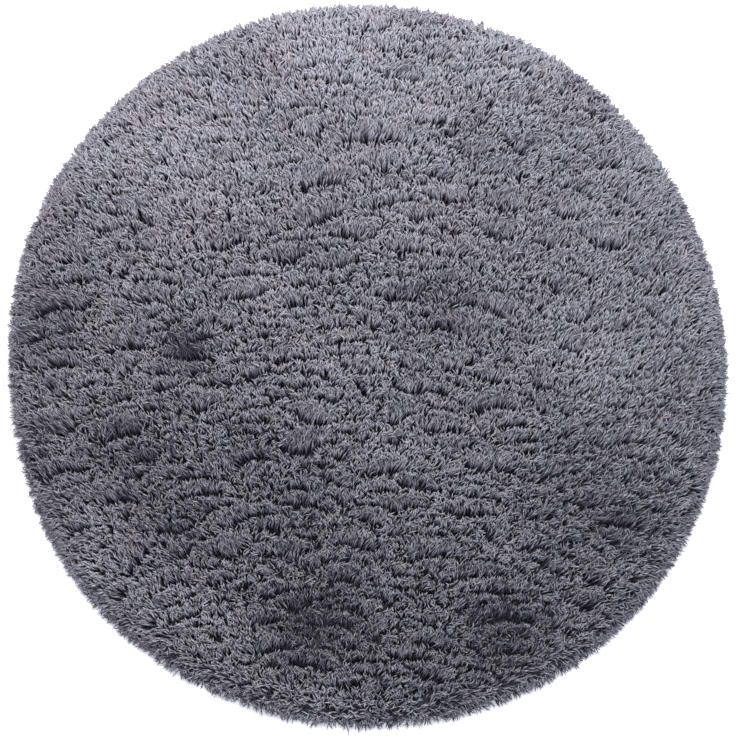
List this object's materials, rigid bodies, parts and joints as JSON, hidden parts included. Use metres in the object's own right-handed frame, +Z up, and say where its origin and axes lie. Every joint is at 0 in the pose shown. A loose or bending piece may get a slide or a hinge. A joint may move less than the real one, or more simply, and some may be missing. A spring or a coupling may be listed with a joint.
{
  "type": "round shag rug",
  "caption": "Round shag rug: a deep, soft pile of combed grey yarn locks on a flat cloth ground, with shaggy lumps and crests and an uneven rim of lock tips; lies flat on a floor.",
  "frame": {"origin": "on the floor, under the middle of the rug's box", "axes": "+Z up out of the pile; +Y is the way in which most tips lie; +X to the right of it"},
  "size_m": [1.1982, 1.208, 0.0361],
  "materials": {
    "grey_pile_yarn": "matte, fluffy microfibre pile, darker at the roots"
  },
  "bodies": {
    "root": {"shag_rug": "grey_pile_yarn"}
  },
  "joints": []
}
